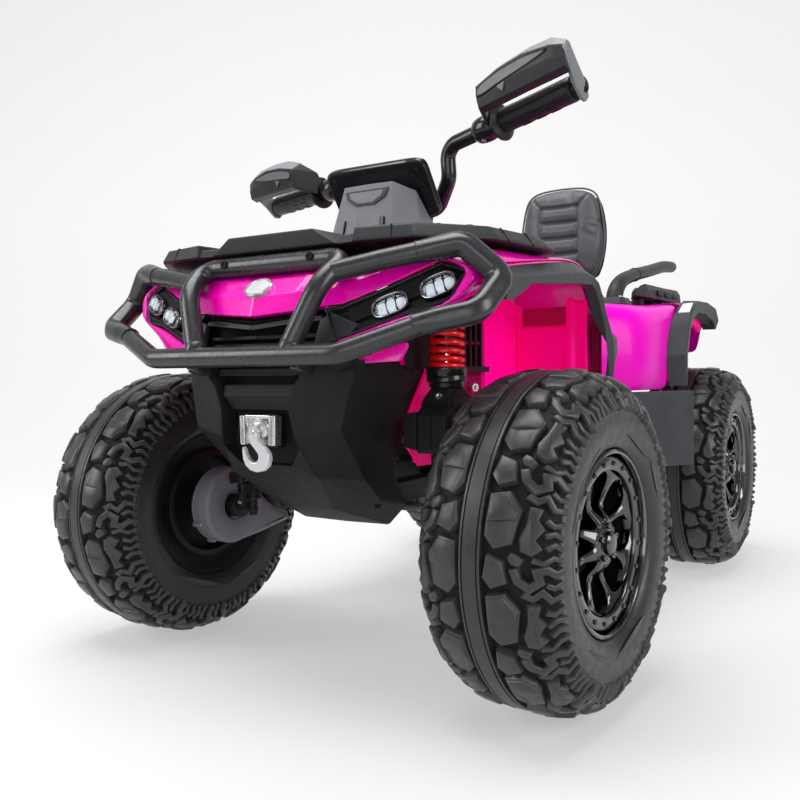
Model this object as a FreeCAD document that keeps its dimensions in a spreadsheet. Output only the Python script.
import FreeCAD, Part
import Sketcher
import math
import os

# Child's electric quad bike. Millimetres, +Z up, front faces -Y, +X is the
# rider's left. The origin is on the ground under the middle of the overall box.

V = FreeCAD.Vector
ROT = FreeCAD.Rotation
PLC = FreeCAD.Placement

doc = FreeCAD.newDocument("quad_bike")
sheet = doc.addObject("Spreadsheet::Sheet", "dims")
used_rows = []


class Dim:
    """A number of the sheet with the text that reads it there."""

    def __init__(self, v, t):
        self.v = v
        self.t = t

    def join(self, o, sign, v):
        return Dim(v, "(%s %s %s)" % (self.t, sign, txt(o)))

    def __add__(self, o):
        return self.join(o, "+", self.v + val(o))

    def __sub__(self, o):
        return self.join(o, "-", self.v - val(o))

    def __mul__(self, o):
        return self.join(o, "*", self.v * val(o))

    def __truediv__(self, o):
        return self.join(o, "/", self.v / val(o))

    def __neg__(self):
        return Dim(-self.v, "(0 - %s)" % self.t)


def val(a):
    return a.v if isinstance(a, Dim) else float(a)


def txt(a):
    return a.t if isinstance(a, Dim) else repr(float(a))


def dim(alias, value, note):
    used_rows.append(alias)
    r = len(used_rows)
    sheet.set("A%d" % r, note)
    sheet.set("B%d" % r, repr(float(value)))
    sheet.setAlias("B%d" % r, alias)
    return Dim(float(value), "dims." + alias)


def bind(obj, prop, a):
    setattr(obj, prop, val(a))
    if isinstance(a, Dim):
        obj.setExpression(prop, a.t)


# ---------------------------------------------------------------- dimensions
front_axle_y = dim("front_axle_y", -388.75, "front axle from the origin")
wheelbase = dim("wheelbase", 795, "front axle to rear axle")
wheel_radius = dim("wheel_radius", 185, "tyre radius")
tyre_width = dim("tyre_width", 150, "tyre width")
tyre_wall = dim("tyre_wall", 11, "tyre wall")
bead_radius = dim("bead_radius", 100, "tyre bead radius")
track_front = dim("track_front", 293, "half track, front")
track_rear = dim("track_rear", 254, "half track, rear")
kingpin_x = dim("kingpin_x", 150, "kingpin from the middle")
kingpin_r = dim("kingpin_r", 8, "kingpin radius")
fit_gap = dim("fit_gap", 0.05, "running clearance, radial")
stub_r = dim("stub_r", 9, "front stub axle radius")
rear_axle_r = dim("rear_axle_r", 10, "rear axle radius")
column_r = dim("column_r", 11, "steering column radius")
column_tilt = dim("column_tilt", 20, "steering column tilt, degrees")
crank_rest = dim("crank_rest", -10, "column crank angle at rest, degrees")
bar_rest = dim("bar_rest", -15.2, "bar angle at rest, degrees")
wheel_rest = dim("wheel_rest", -3.6, "front wheel angle at rest, degrees")
crank_len = dim("crank_len", 22, "column crank length")
knuckle_arm = dim("knuckle_arm", 60, "knuckle steering arm length")
bar_tube_r = dim("bar_tube_r", 10.5, "handlebar tube radius")
grip_r = dim("grip_r", 15, "grip radius")
grip_len = dim("grip_len", 114, "grip length")
bumper_r = dim("bumper_r", 10.5, "bumper tube radius")
corner_r = dim("corner_r", 12.5, "bumper corner tube radius")
rail_w = dim("rail_w", 30, "frame rail width")
rail_h = dim("rail_h", 25, "frame rail height")
rail_z = dim("rail_z", 205, "frame rail underside")
post_w = dim("post_w", 25, "frame post width")
rod_r = dim("rod_r", 6, "strut rod radius")
strut_tube_r = dim("strut_tube_r", 13, "strut tube radius")
spring_r = dim("spring_r", 22, "spring outer radius")
spring_in = dim("spring_in", 14.5, "spring inner radius")
strut_x = dim("strut_x", 154.5, "strut axis from the middle")
gearbox_r = dim("gearbox_r", 52, "gearbox drum radius")
gearbox_w = dim("gearbox_w", 30, "gearbox width")
rack_t = dim("rack_t", 20, "front rack thickness")
skin = dim("skin", 6, "panel thickness")
handle_r = dim("handle_r", 11.5, "grab handle radius")
lens_r = dim("lens_r", 14, "headlamp lens radius")
pedal_len = dim("pedal_len", 75, "pedal length")
button_r = dim("button_r", 9, "power button radius")
seat_t = dim("seat_t", 44, "seat cushion thickness")
pad_t = dim("pad_t", 36, "backrest pad thickness")
doc.recompute()

YF = front_axle_y.v
HOME = PLC(V(0, YF, 0), ROT())
tilt = math.radians(column_tilt.v)

PARTS = {}


def keep(name, obj):
    obj.Label = name
    PARTS[name] = obj
    return obj


# ---------------------------------------------------------------- makers
def plane(body, role):
    return [f for f in body.Origin.OriginFeatures if f.Role == role][0]


def outline(body, role, pts, off, tag):
    sk = body.newObject("Sketcher::SketchObject", tag)
    sk.AttachmentSupport = [(plane(body, role), "")]
    sk.MapMode = "FlatFace"
    sk.AttachmentOffset = PLC(V(0, 0, val(off)), ROT())
    if isinstance(off, Dim):
        sk.setExpression("AttachmentOffset.Base.z", off.t)
    n = len(pts)
    for i in range(n):
        a, b = pts[i], pts[(i + 1) % n]
        sk.addGeometry(Part.LineSegment(V(val(a[0]), val(a[1]), 0), V(val(b[0]), val(b[1]), 0)), False)
    for i in range(n):
        sk.addConstraint(Sketcher.Constraint("Coincident", i, 2, (i + 1) % n, 1))
    for i in range(n):
        for k, kind in ((0, "DistanceX"), (1, "DistanceY")):
            c = pts[i][k]
            j = sk.addConstraint(Sketcher.Constraint(kind, -1, 1, i, 1, val(c)))
            if isinstance(c, Dim):
                sk.setExpression("Constraints[%d]" % j, c.t)
    return sk


def prism(name, role, pts, lo, hi, frame=HOME):
    """A pad of an outline between two stations across its plane."""
    body = doc.addObject("PartDesign::Body", name)
    off = (hi * -1 if isinstance(hi, Dim) else -hi) if role == "XZ_Plane" else lo
    sk = outline(body, role, pts, off, name + "_outline")
    pad = body.newObject("PartDesign::Pad", name + "_pad")
    pad.Profile = sk
    span = hi - lo if isinstance(hi, Dim) else (-(lo - hi) if isinstance(lo, Dim) else hi - lo)
    bind(pad, "Length", span)
    sk.Visibility = False
    body.Placement = frame
    return body


def turned(name, pts, frame):
    """A revolution about the local X axis; points are (along, radius)."""
    body = doc.addObject("PartDesign::Body", name)
    sk = outline(body, "XY_Plane", pts, 0, name + "_section")
    rev = body.newObject("PartDesign::Revolution", name + "_turn")
    rev.Profile = sk
    rev.ReferenceAxis = (sk, ["H_Axis"])
    rev.Angle = 360
    body.Placement = frame
    return body


def box(name, x, y, z, frame=HOME):
    o = doc.addObject("Part::Box", name)
    lo = [x[0], y[0], z[0]]
    for prop, (a, b) in (("Length", x), ("Width", y), ("Height", z)):
        size = b - a if isinstance(b, Dim) else (-(a - b) if isinstance(a, Dim) else b - a)
        bind(o, prop, size)
    o.Placement = frame.multiply(PLC(V(*[val(c) for c in lo]), ROT()))
    return o


def rod(name, p, q, r, frame=HOME):
    """A cylinder of radius r from point p to point q."""
    o = doc.addObject("Part::Cylinder", name)
    p, q = V(*[val(c) for c in p]), V(*[val(c) for c in q])
    bind(o, "Radius", r)
    o.Height = (q - p).Length
    o.Placement = frame.multiply(PLC(p, ROT(V(0, 0, 1), q - p)))
    return o


def fuse(name, items):
    o = doc.addObject("Part::MultiFuse", name)
    o.Shapes = items
    o.Refine = True
    return o


def cut(name, base, tool):
    o = doc.addObject("Part::Cut", name)
    o.Base = base
    o.Tool = tool
    return o


def common(name, a, b):
    o = doc.addObject("Part::Common", name)
    o.Base = a
    o.Tool = b
    return o


def mirror(name, src):
    o = doc.addObject("Part::Mirroring", name)
    o.Source = src
    o.Base = V(0, 0, 0)
    o.Normal = V(1, 0, 0)
    return o


def pair(name, left, right=None):
    o = doc.addObject("Part::Compound", name)
    o.Links = [left, right or mirror(name + "_right", left)]
    return o


def route(points, bend):
    """Straight runs joined by tangent arcs."""
    pts = [V(*p) for p in points]
    edges, here = [], pts[0]
    for i in range(1, len(pts) - 1):
        a, b, c = pts[i - 1], pts[i], pts[i + 1]
        u, w = (a - b).normalize(), (c - b).normalize()
        turn = math.pi - u.getAngle(w)
        room = 0.45 * min((a - b).Length, (c - b).Length)
        d = min(bend * math.tan(turn / 2), room)
        r = d / math.tan(turn / 2)
        s, e = b + u * d, b + w * d
        mid = b + (u + w).normalize() * (math.sqrt(r * r + d * d) - r)
        edges.append(Part.LineSegment(here, s).toShape())
        edges.append(Part.Arc(s, mid, e).toShape())
        here = e
    edges.append(Part.LineSegment(here, pts[-1]).toShape())
    return Part.Wire(edges)


def tube(name, points, r, bend, frame=HOME):
    path = doc.addObject("Part::Feature", name + "_path")
    pts = [frame.multVec(V(*p)) for p in points]
    path.Shape = route([(p.x, p.y, p.z) for p in pts], bend)
    ring = doc.addObject("Part::Circle", name + "_ring")
    bind(ring, "Radius", r)
    ring.Placement = PLC(pts[0], ROT(V(0, 0, 1), pts[1] - pts[0]))
    o = doc.addObject("Part::Sweep", name)
    o.Sections = [ring]
    o.Spine = (path, ["Edge%d" % (i + 1) for i in range(len(path.Shape.Edges))])
    o.Solid = True
    o.Frenet = False
    return o


def both(pts):
    """An outline of the left half, closed with its mirror image."""
    return list(pts) + [(-a if isinstance(a, (int, float)) else -a, b) for a, b in reversed(pts) if val(a) != 0]


# ---------------------------------------------------------------- steering axis
AX = V(0, math.sin(tilt), math.cos(tilt))
AX0 = V(0, 180, 617)


def on_axis(z):
    k = (z - AX0.z) / AX.z
    return (0, AX0.y + k * AX.y, z)


BAR = HOME.multiply(PLC(V(0, 0, 0), ROT(AX, bar_rest.v), AX0))

# ---------------------------------------------------------------- frame
r0, r1 = 50, rail_w + 50
z0, z1 = rail_z, rail_z + rail_h
bits = []
for s in (1, -1):
    def sx(a, b):
        return (a, b) if s == 1 else (-b if not isinstance(b, Dim) else b * -1, -a if not isinstance(a, Dim) else a * -1)
    t = "l" if s == 1 else "r"
    bits += [box("rail_" + t, sx(50, r1), (-40, 835), (z0, z1)),
             box("post_front_" + t, sx(50, post_w + 50), (110, 135), (z1, 470)),
             box("tower_arm_" + t, sx(98, 126), (-38, 112), (455, 470)),
             box("tower_plate_" + t, sx(98, 182), (-38, 28), (455, 470)),
             box("post_rear_" + t, sx(50, post_w + 50), (600, 625), (z1, 462)),
             box("hanger_" + t, sx(50, r1), (770, 820), (160, z0))]
for tag, a, b in (("a", -40, -15), ("b", 300, 325), ("c", 560, 585), ("d", 810, 835)):
    bits.append(box("cross_" + tag, (-52, 52), (a, b), (z0, z1)))
bits += [box("tower_bar", (-126, 126), (110, 135), (455, 470)),
         box("bush_upper", (-26, 26), (96, 150), (449, 479)),
         box("bush_lower", (-52, 52), (46, 135), (300, 318)),
         box("seat_bar", (-75, 75), (600, 625), (448, 462)),
         box("nose_post_l", (62, 78), (-40, -24), (z1, 330)),
         box("nose_post_r", (-78, -62), (-40, -24), (z1, 330)),
         box("nose_stay_l", (62, 78), (-150, -24), (316, 330)),
         box("nose_stay_r", (-78, -62), (-150, -24), (316, 330))]
frame_raw = fuse("frame_raw", bits)
bores = fuse("frame_bores", [box("rail_hollow_l", (53, 77), (-75, 840), (208, 227)),
                             box("rail_hollow_r", (-77, -53), (-75, 840), (208, 227)),
                             rod("column_bore", on_axis(200), on_axis(520), column_r + fit_gap),
                             rod("axle_bore", (-200, 795, 185), (200, 795, 185), rear_axle_r + fit_gap)])
keep("chassis_frame", cut("chassis_frame", frame_raw, bores))

# ---------------------------------------------------------------- nose
fas_side = prism("fascia_side", "YZ_Plane", [(-163, 384), (-166, 352), (-160, 288), (-122, 258), (-122, 384)], -122, 122)
fas_chin = prism("fascia_chin", "YZ_Plane", [(-122.5, 258), (-88, 234), (-45, 206), (-45, 384), (-122.5, 384)], -122, 122)
fas_front = prism("fascia_front", "XZ_Plane", both([(118, 384), (121, 362), (106, 305), (97, 245), (92, 200)]), -170, 0)
fas_out = common("fascia_out", fuse("fascia_blank", [fas_side, fas_chin]), fas_front)
fas_in_a = prism("fascia_in_side", "YZ_Plane", [(-152, 400), (-154, 354), (-149, 296), (-82, 248), (-30, 214), (-30, 400)], -122, 122)
fas_in_b = prism("fascia_in_front", "XZ_Plane", both([(109, 400), (112, 362), (98, 306), (89, 246), (84, 200)]), -170, 0)
keep("front_fascia", cut("front_fascia", fas_out, common("fascia_hollow", fas_in_a, fas_in_b)))

keep("grille_insert", prism("grille_insert", "XZ_Plane", both([(82, 385), (87, 423), (0, 413)]), -158, -146))

hood_side = prism("hood_side", "YZ_Plane",
                  [(-168, 433), (-150, 458), (-102, 500), (60, 500), (60, 494), (-99, 494), (-144, 455), (-160, 433)], -88, 88)
hood_plan = prism("hood_plan", "XY_Plane", both([(0, -170), (60, -157), (88, -146), (88, 70)]), 420, 510)
keep("hood_panel", common("hood_panel", hood_side, hood_plan))

# Each headlight housing lies on a face that runs back from the nose to the side.
lamp_yaw = math.degrees(math.atan2(49, 150))
LAMP = HOME.multiply(PLC(V(90, -146, 0), ROT(V(0, 0, 1), lamp_yaw)))
housing = prism("headlight_shell", "XZ_Plane",
                [(2, 427), (30, 424), (70, 430), (128, 452), (142, 470), (140, 479.4), (112, 478.6), (60, 455), (6, 441)], 0, 34, LAMP)
keep("headlight_housings", pair("headlight_housings", housing))
lamps = []
for n, (lx, ly, lz) in enumerate(((201, -102, 458), (155, -121, 438))):
    u = (lx - 90) * math.cos(math.radians(lamp_yaw)) + (ly + 146) * math.sin(math.radians(lamp_yaw))
    lamps.append(rod("lens_%d" % n, (u, -7, lz + 1), (u, -0.02, lz + 1), lens_r, LAMP))
lens_left = doc.addObject("Part::Compound", "lens_left")
lens_left.Links = lamps
lens_right = mirror("lens_right", lens_left)
keep("headlamp_lenses", pair("headlamp_lenses", lens_left, lens_right))

# ---------------------------------------------------------------- bumper
hoop = tube("hoop", [(66, -186, 388), (95, -168, 461), (107, -130, 492), (-107, -130, 492), (-95, -168, 461), (-66, -186, 388)], bumper_r, 26)
lower = tube("lower_bar", [(217, -154, 416), (132, -189, 386), (-132, -189, 386), (-217, -154, 416)], bumper_r, 40)
stays = [rod("stay_%d" % s, (s * 75, -189, 383), (s * 75, -165.4, 381), 8) for s in (1, -1)]
keep("bumper_centre", fuse("bumper_centre", [hoop, lower] + stays))
corner = tube("corner_loop", [(219.5, -153.2, 416.8), (266, -136, 426), (271, -90, 463), (233, -105, 499), (197, -123, 492)], corner_r, 22)
upper = tube("upper_tube", [(199, -122, 492.4), (123, -143.5, 479.5)], bumper_r, 10)
loop_left = fuse("bumper_side_left", [corner, upper])
keep("bumper_side_left", loop_left)
keep("bumper_side_right", mirror("bumper_side_right", loop_left))

keep("winch_fairlead", fuse("winch_fairlead", [box("fairlead_plate", (-27, 27), (-170.5, -166.4), (284, 322)),
                                              box("fairlead_lip", (-20, 20), (-182, -170), (304, 312))]))
hook_path = [(0, -176, 303.5), (0, -176, 286), (4, -176, 268), (-8, -176, 258), (-20, -176, 266), (-19, -176, 278)]
keep("winch_hook", tube("winch_hook", hook_path, 5, 9))

# ---------------------------------------------------------------- rack and dash
rack_pts = [(0, -136), (61, -136), (84, -126), (112, -134), (170, -108), (219, -81), (262, 72), (250, 104), (96, 126), (96, 40), (0, 40)]
keep("front_rack", prism("front_rack", "XY_Plane", both(rack_pts), 507, rack_t + 507))

cowl_side = prism("cowl_side", "YZ_Plane", [(44, 503), (66, 626), (92, 626), (126, 580), (132, 556), (232, 525), (232, 503)], -80, 80)
cowl_front = prism("cowl_front", "XZ_Plane", both([(80, 503), (46, 640)]), 0, 260)
cowl_out = common("cowl_out", cowl_side, cowl_front)
DECK = HOME.multiply(PLC(V(0, 205, 525 + 27 * 31 / 100.0), ROT(V(1, 0, 0), -math.degrees(math.atan2(31, 100)))))
cowl_in_side = prism("cowl_in_side", "YZ_Plane", [(54, 495), (74, 616), (88, 616), (118, 574), (124, 549), (224, 518), (224, 495)], -80, 80)
cowl_in_front = prism("cowl_in_front", "XZ_Plane", both([(72, 495), (40, 640)]), 0, 260)
cowl_cuts = fuse("cowl_cuts", [common("cowl_hollow", cowl_in_side, cowl_in_front),
                               rod("cowl_column", on_axis(480), on_axis(620), column_r + 4),
                               rod("button_bore", (40, 0, -30), (40, 0, 10), button_r + 0.4, DECK),
                               box("rocker_slot", (-50, -30), (-15, 15), (-30, 10), DECK)])
keep("dash_cowl", cut("dash_cowl", cowl_out, cowl_cuts))
keep("power_button", fuse("power_button", [rod("button_cap", (40, 0, -5), (40, 0, 6), button_r, DECK),
                                           rod("button_stem", (40, 0, -14), (40, 0, -4), 4, DECK)]))
keep("direction_rocker", prism("direction_rocker", "YZ_Plane", [(-13, 3), (-11, 7), (0, 4.5), (11, 7), (13, 3), (7, -8), (-7, -8)], -48.5, -31.5, DECK))

slab_lean = math.degrees(math.atan2(64, 48))
SLAB = HOME.multiply(PLC(V(0, 104.6, 611.4), ROT(V(1, 0, 0), -slab_lean)))
keep("dash_display", prism("dash_display", "XY_Plane", both([(66, 41), (79, 30), (79, -30), (66, -41)]), 0.5, 12.5, SLAB))

# ---------------------------------------------------------------- front fenders
band = prism("fender_band", "XZ_Plane",
             [(2, 404), (70, 402), (150, 430), (166, 470), (160, 492), (100, 492), (10, 456), (4, 442.2),
              (60, 456.2), (112, 480.2), (141.2, 483.2), (143.2, 470), (129, 451), (71, 428.6), (30, 422.6), (2, 425.6)], 14, 32, LAMP)
top = prism("fender_top", "XY_Plane", [(91, -112), (168, -100), (236, -84), (246, -60), (249.5, 0), (249.5, 258), (91, 258)], 480, 490)
wall = box("fender_inner", (128, 134), (44, 252), (300, 481))
back = box("fender_back", (91, 249.5), (250, 258), (300, 481))
fender_left = fuse("front_fender_left", [band, top, wall, back])
keep("front_fender_left", fender_left)
keep("front_fender_right", mirror("front_fender_right", fender_left))
trim = prism("fender_trim_shell", "YZ_Plane",
             [(-74, 446), (-73, 478), (-58, 496), (198, 498), (238, 490), (286, 362), (264, 360), (214, 458), (172, 470), (-40, 464), (-50, 446)], 250, 272)
keep("fender_trims", pair("fender_trims", trim))

# ---------------------------------------------------------------- middle
tunnel_out = prism("tunnel_out", "XZ_Plane", both([(85, 230), (74, 420), (62, 480)]), 260, 592)
tank = box("tank_block", (-58, 58), (234, 331), (478, 522))
tunnel_in = prism("tunnel_in", "XZ_Plane", both([(79, 225), (68, 418), (57, 474)]), 266, 600)
keep("centre_body", cut("centre_body", fuse("tunnel_blank", [tunnel_out, tank]), tunnel_in))
floor = box("foot_floor", (rail_w + 50, 262), (262, 545), (212, 226))
guard = prism("foot_guard", "XY_Plane", [(226, 440), (238, 436), (301, 548), (290, 556)], 212, 331)
foot_l = fuse("footrest_left", [floor, guard])
lugs = [box("pedal_lug_%d" % n, x, (364, 380), (225, 243)) for n, x in enumerate(((-187, -181), (-119, -113)))]
foot_r = cut("footrest_right", fuse("footrest_right_blank", [mirror("footrest_right_plain", foot_l)] + lugs),
             rod("pedal_lug_bore", (-200, 372, 235), (-100, 372, 235), 4 + fit_gap.v))
keep("footrests", pair("footrests", foot_l, foot_r))
keep("battery", box("battery", (-56, 56), (400, 556), (230, 322)))
keep("control_box", box("control_box", (-48, 48), (298, 384), (230, 284)))

# ---------------------------------------------------------------- rear body
side_l = prism("rear_side", "XY_Plane", [(92, 338), (98, 330), (232, 468), (251, 640), (243, 642), (225, 473)], 332, 472)
deck_l = prism("rear_deck", "XY_Plane", [(80, 560), (110, 340), (232, 468), (251, 640), (251, 858), (80, 858)], 466, 479)
well_l = box("rear_well", (92, 98), (596, 858), (300, 470))
tail_l = box("rear_tail", (92, 251), (850, 858), (390, 470))
rear_left = fuse("rear_fender_left", [side_l, deck_l, well_l, tail_l])
keep("rear_fender_left", rear_left)
keep("rear_fender_right", mirror("rear_fender_right", rear_left))
trim_r = prism("rear_trim_shell", "YZ_Plane",
               [(622, 372), (641, 372), (664, 436), (706, 460), (826, 452), (848, 436), (862, 468), (838, 486), (700, 496), (660, 482)], 251.5, 278)
keep("rear_trims", pair("rear_trims", trim_r))
keep("rear_panel", prism("rear_panel", "XZ_Plane", both([(198, 382), (214, 470), (0, 470)]), 858, 866))
light = prism("tail_light_left_shell", "XZ_Plane", [(130, 428), (186, 422), (194, 452), (134, 456)], 866, 876)
keep("tail_lights", pair("tail_lights", light))
rack_side = prism("rack_side_left", "XY_Plane", [(150, 742), (166, 672), (186, 640), (204, 640), (212, 836), (196, 858), (150, 858)], 490, 518)
keep("rear_rack", fuse("rear_rack", [prism("rack_plate", "XY_Plane", both([(120, 742), (196, 700), (212, 846), (190, 862)]), 480, 496),
                                     rack_side, mirror("rack_side_right", rack_side)]))
handle = cut("handle_left", tube("handle_bent", [(180, 530, 460), (180, 537, 497), (180, 575, 521), (180, 739, 551), (180, 815, 565), (180, 890, 572)], handle_r, 30),
             box("handle_seat", (150, 210), (440, 600), (420, 479.05)))
keep("rear_handles", pair("rear_handles", handle))

# ---------------------------------------------------------------- seat
keep("seat_cushion", prism("seat_cushion", "XY_Plane", both([(62, 333), (108, 420), (112, 640), (96, 730)]), 480, seat_t + 480))
keep("backrest_pad", prism("backrest_pad", "XZ_Plane", both([(70, 548), (84, 580), (89, 660), (84, 702), (66, 722)]), 738, pad_t + 738))
keep("backrest_shell", fuse("backrest_shell", [prism("shell_plate", "XZ_Plane", both([(74, 545), (86, 600), (86, 690), (66, 714)]), pad_t + 738, pad_t + 752),
                                               box("shell_foot", (-60, 60), (774, 800), (496, 560))]))

# ---------------------------------------------------------------- steering
COL = HOME.multiply(PLC(V(*on_axis(216)), ROT(V(1, 0, 0), -column_tilt.v))).multiply(PLC(V(0, 0, 0), ROT(V(0, 0, 1), crank_rest.v)))
col_len = (590 - 216) / AX.z
column = fuse("steering_column", [rod("column_shaft", (0, 0, 0), (0, 0, col_len), column_r, COL),
                                  box("column_crank", (-8, 8), (-8, crank_len + 8), (-2, 8), COL),
                                  rod("crank_pin", (0, crank_len, 4), (0, crank_len, -30), 4, COL),
                                  box("bar_clamp", (-24, 24), (-14, 26), (col_len - 22, col_len + 24), COL)])
BARS = [(0, 178, 590), (52, 178, 590), (84, 170, 622), (88, 166.3, 663.6), (301, 166.3, 674.1)]
bar_left = tube("bar_left", BARS, bar_tube_r, 26, BAR)
bar_right = tube("bar_right", [(-x, y, z) for x, y, z in BARS], bar_tube_r, 26, BAR)
bar = fuse("handlebar_tube", [bar_left, bar_right])
keep("handlebar_tube", bar)
clamp_bore = tube("clamp_bore", [(-34, 178, 590), (34, 178, 590)], bar_tube_r + fit_gap, 10, BAR)
keep("steering_column", cut("steering_column", column, clamp_bore))
grips = []
for s in (1, -1):
    a, b = V(s * 161.4, 166.3, 667.2), V(s * 301, 166.3, 674.1)
    d = (b - a).normalize()
    p, q = a + d * 22, a + d * (22 + grip_len.v)
    body = rod("grip_%d" % s, (p.x, p.y, p.z), (q.x, q.y, q.z), grip_r, BAR)
    hole = rod("grip_hole_%d" % s, tuple(p - d * 5), tuple(q + d * 5), bar_tube_r + fit_gap, BAR)
    grips.append(cut("grip_cut_%d" % s, body, hole))
keep("handlebar_grips", pair("handlebar_grips", grips[0], grips[1]))
for s, side in ((1, "left"), (-1, "right")):
    shell = prism("guard_shell_" + side, "YZ_Plane", [(118, 676), (114, 697), (120, 712), (138, 724), (140, 718), (126, 706), (121, 697), (125, 677)], 190 if s == 1 else -318, 318 if s == 1 else -190, BAR)
    end = box("guard_end_" + side, (303, 309) if s == 1 else (-309, -303), (114, 178), (654, 714), BAR)
    keep("handguard_" + side, fuse("handguard_" + side, [shell, end]))

# ---------------------------------------------------------------- front struts, knuckles, wheels
def strut_pt(z, s):
    return V(s * strut_x.v, 0, z)


bodies_l = []
for s, side in ((1, "left"), (-1, "right")):
    def X(a, b):
        return (a, b) if s == 1 else (-b, -a)
    tube_o = rod("strut_tube_" + side, tuple(strut_pt(388, s)), tuple(strut_pt(450, s)), strut_tube_r)
    flange = rod("strut_flange_" + side, tuple(strut_pt(440, s)), tuple(strut_pt(446, s)), 25)
    seat = rod("strut_seat_" + side, tuple(strut_pt(444, s)), tuple(strut_pt(454.95, s)), 16)
    bore = rod("strut_bore_" + side, tuple(strut_pt(370, s)), tuple(strut_pt(438, s)), rod_r + fit_gap)
    bodies_l.append(cut("strut_body_" + side, fuse("strut_blank_" + side, [tube_o, flange, seat]), bore))
    carrier = fuse("strut_carrier_" + side, [
        box("carrier_block_" + side, X(136, 180), (-42, 20), (258, 332)),
        box("carrier_web_" + side, X(138, 162), (-44, -24), (150, 300)),
        box("carrier_bridge_" + side, X(140, 160), (-30, -12), (150, 221)),
        rod("carrier_sleeve_" + side, (s * 150, 0, 150), (s * 150, 0, 221), kingpin_r + 8),
        rod("carrier_perch_" + side, tuple(strut_pt(355, s)), tuple(strut_pt(368, s)), 24),
        rod("carrier_neck_" + side, tuple(strut_pt(322, s)), tuple(strut_pt(358, s)), 18),
        rod("carrier_rod_" + side, tuple(strut_pt(330, s)), tuple(strut_pt(418, s)), rod_r)])
    keep("strut_carrier_" + side, cut("strut_carrier_" + side, carrier, rod("carrier_bore_" + side, (s * 150, 0, 140), (s * 150, 0, 230), kingpin_r + fit_gap)))
    spring_o = rod("spring_out_" + side, tuple(strut_pt(368.3, s)), tuple(strut_pt(439.7, s)), spring_r)
    spring_c = rod("spring_core_" + side, tuple(strut_pt(360, s)), tuple(strut_pt(452, s)), spring_in)
    keep("strut_spring_" + side, cut("strut_spring_" + side, spring_o, spring_c))
    # steered parts, in a frame on the kingpin that is turned by the rest angle
    KING = HOME.multiply(PLC(V(s * kingpin_x.v, 0, 0), ROT(V(0, 0, 1), wheel_rest.v)))
    off = track_front.v - kingpin_x.v
    knuckle = fuse("knuckle_" + side, [
        rod("king_pin_" + side, (0, 0, 136), (0, 0, 240), kingpin_r, KING),
        rod("king_top_" + side, (0, 0, 222), (0, 0, 234), 18, KING),
        rod("king_low_" + side, (0, 0, 136), (0, 0, 149), 18, KING),
        box("king_arm_top_" + side, X(0, 34), (-13, 13), (222, 234), KING),
        box("king_arm_low_" + side, X(0, 34), (-13, 13), (136, 149), KING),
        box("king_plate_" + side, X(24, 34), (-25, 25), (136, 234), KING),
        box("steer_arm_" + side, (-9, 9), (0, knuckle_arm + 9), (222, 234), KING),
        rod("steer_pin_" + side, (0, knuckle_arm, 168), (0, knuckle_arm, 224), 4, KING),
        rod("stub_" + side, (s * 30, 0, 185), (s * (off + 42), 0, 185), stub_r, KING)])
    keep("knuckle_" + side, knuckle)
    gx0, gx1 = 34.0, 34.0 + gearbox_w.v
    drum = rod("drum_" + side, (s * gx0, 0, 185), (s * gx1, 0, 185), gearbox_r, KING)
    arm = prism("motor_arm_" + side, "YZ_Plane", [(0, 137), (90, 131), (132, 145), (138, 168), (126, 190), (60, 222), (0, 236)],
                X(gx0 + 2, gx1 - 2)[0], X(gx0 + 2, gx1 - 2)[1], KING)
    keep("gearmotor_front_" + side, cut("gearmotor_front_" + side, fuse("gear_blank_" + side, [drum, arm]),
                                        rod("gear_bore_" + side, (s * (gx0 - 5), 0, 185), (s * (gx1 + 5), 0, 185), stub_r + 0.4, KING)))

keep("strut_bodies", pair("strut_bodies", bodies_l[0], bodies_l[1]))

shift = knuckle_arm.v * math.sin(math.radians(-wheel_rest.v))
yl = knuckle_arm.v * math.cos(math.radians(wheel_rest.v))
LINK = HOME.multiply(PLC(V(shift, yl, 0), ROT()))
link_bar = box("link_bar", (-164, 164), (-16, 16), (190, 196), LINK)
link_tongue = box("link_tongue", (-20, 20), (-34, 16), (190, 196), LINK)
link_holes = fuse("link_holes", [rod("link_hole_l", (150, 0, 180), (150, 0, 205), 11, LINK),
                                 rod("link_hole_r", (-150, 0, 180), (-150, 0, 205), 11, LINK),
                                 box("link_slot", (-6.5, 6.5), (-26, 10), (180, 205), LINK)])
keep("steering_link", cut("steering_link", fuse("link_blank", [link_bar, link_tongue]), link_holes))

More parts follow.
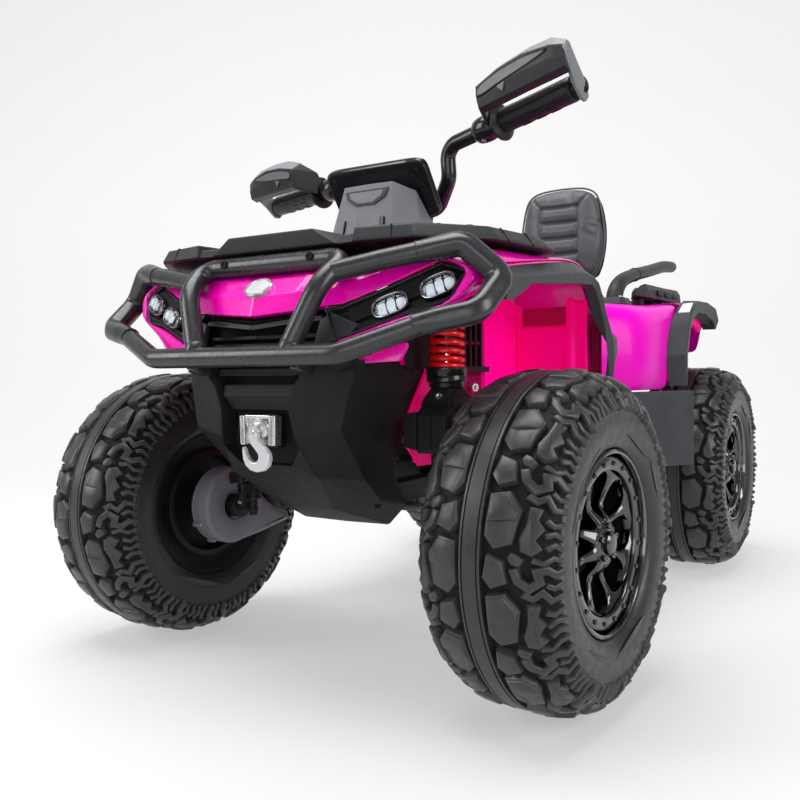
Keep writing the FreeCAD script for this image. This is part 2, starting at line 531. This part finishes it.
w2 = tyre_width / 2
for name, s, cx, cy, bore_r, ang in (("front_left", 1, None, 0, stub_r, wheel_rest.v), ("front_right", -1, None, 0, stub_r, wheel_rest.v),
                                     ("rear_left", 1, track_rear.v, wheelbase.v, rear_axle_r, 0), ("rear_right", -1, -track_rear.v, wheelbase.v, rear_axle_r, 0)):
    if cx is None:
        KING = HOME.multiply(PLC(V(s * kingpin_x.v, 0, 0), ROT(V(0, 0, 1), ang)))
        W = KING.multiply(PLC(V(s * (track_front.v - kingpin_x.v), 0, wheel_radius.v), ROT()))
    else:
        W = HOME.multiply(PLC(V(cx, cy, wheel_radius.v), ROT()))
    if s < 0:
        W = W.multiply(PLC(V(0, 0, 0), ROT(V(0, 0, 1), 180)))
    # local +X points outwards
    keep("tyre_" + name, turned("tyre_" + name, [
        (-w2 + 14, bead_radius), (-w2 + 2, bead_radius + 10), (-w2, bead_radius + 30), (-w2 + 3, wheel_radius - 28), (-w2 + 12, wheel_radius - 9),
        (-w2 + 34, wheel_radius), (w2 - 34, wheel_radius), (w2 - 12, wheel_radius - 9), (w2 - 3, wheel_radius - 28), (w2, bead_radius + 30),
        (w2 - 2, bead_radius + 10), (w2 - 14, bead_radius), (w2 - 26, bead_radius), (w2 - 14, bead_radius + 28), (w2 - 16, wheel_radius - 30),
        (w2 - 36, wheel_radius - tyre_wall), (-w2 + 36, wheel_radius - tyre_wall), (-w2 + 16, wheel_radius - 30), (-w2 + 14, bead_radius + 28), (-w2 + 26, bead_radius)], W))
    rim_in = bore_r + fit_gap
    rb = bead_radius - 0.1
    rim = turned("rim_" + name, [
        (-w2 + 14, rb), (-w2 + 14, rb - 8), (28, rb - 8), (28, 30), (-44, 26), (-44, rim_in), (44, rim_in), (44, 26), (40, 32), (38, rb - 8), (w2 - 12, rb - 4), (w2 - 12, rb)], W)
    hole = outline(rim, "YZ_Plane", [(-11, 46), (11, 46), (20, 84), (-20, 84)], 20, "window_" + name)
    win = rim.newObject("PartDesign::Pocket", "windows_" + name)
    win.Profile = hole
    win.Type = "Length"
    win.Length = 40
    win.Reversed = True
    pat = rim.newObject("PartDesign::PolarPattern", "spokes_" + name)
    pat.Originals = [win]
    pat.Axis = (hole, ["N_Axis"])
    pat.Angle = 360
    pat.Occurrences = 8
    rim.Tip = pat
    keep("rim_" + name, rim)

# ---------------------------------------------------------------- rear axle and drives
keep("rear_axle", rod("rear_axle", (-(track_rear.v + 44), 795, 185), (track_rear.v + 44, 795, 185), rear_axle_r))
rear_drum = rod("rear_drum", (132, 795, 185), (170, 795, 185), gearbox_r)
rear_arm = prism("rear_motor", "YZ_Plane", [(795, 137), (705, 131), (663, 145), (657, 168), (669, 190), (735, 222), (795, 236)], 134, 168)
rear_gear = cut("rear_gear_left", fuse("rear_gear_blank", [rear_drum, rear_arm]), rod("rear_gear_bore", (120, 795, 185), (180, 795, 185), rear_axle_r + 0.4))
keep("gearmotors_rear", pair("gearmotors_rear", rear_gear))

# ---------------------------------------------------------------- pedal
PED = HOME.multiply(PLC(V(-150, 372, 235), ROT(V(1, 0, 0), -32)))
pedal = fuse("pedal_raw", [box("pedal_plate", (-30, 30), (-pedal_len, 4), (2, 10), PED), rod("pedal_boss", (-30, 0, 0), (30, 0, 0), 6, PED),
                          rod("pedal_pin", (-37, 0, 0), (37, 0, 0), 4, PED)])
keep("accelerator_pedal", pedal)

doc.recompute()

bad = [o.Name for o in doc.Objects if any(k in o.State for k in ("Invalid", "Error"))]
if bad:
    raise RuntimeError("failed objects: %s" % bad)
for name, obj in PARTS.items():
    sh = obj.Shape
    if sh.isNull() or not sh.isValid() or not sh.Solids:
        raise RuntimeError("bad shape: %s" % name)

os.makedirs("parts", exist_ok=True)
lo, hi = [1e9] * 3, [-1e9] * 3
for name, obj in PARTS.items():
    obj.Shape.exportStep("parts/%s.step" % name)
    b = obj.Shape.BoundBox
    for k, (a, c) in enumerate(((b.XMin, b.XMax), (b.YMin, b.YMax), (b.ZMin, b.ZMax))):
        lo[k], hi[k] = min(lo[k], a), max(hi[k], c)
    print("%-24s solids %d  volume %.0f" % (name, len(obj.Shape.Solids), obj.Shape.Volume))
print(len(PARTS), "nodes, box", [round(c, 1) for c in lo], [round(c, 1) for c in hi])
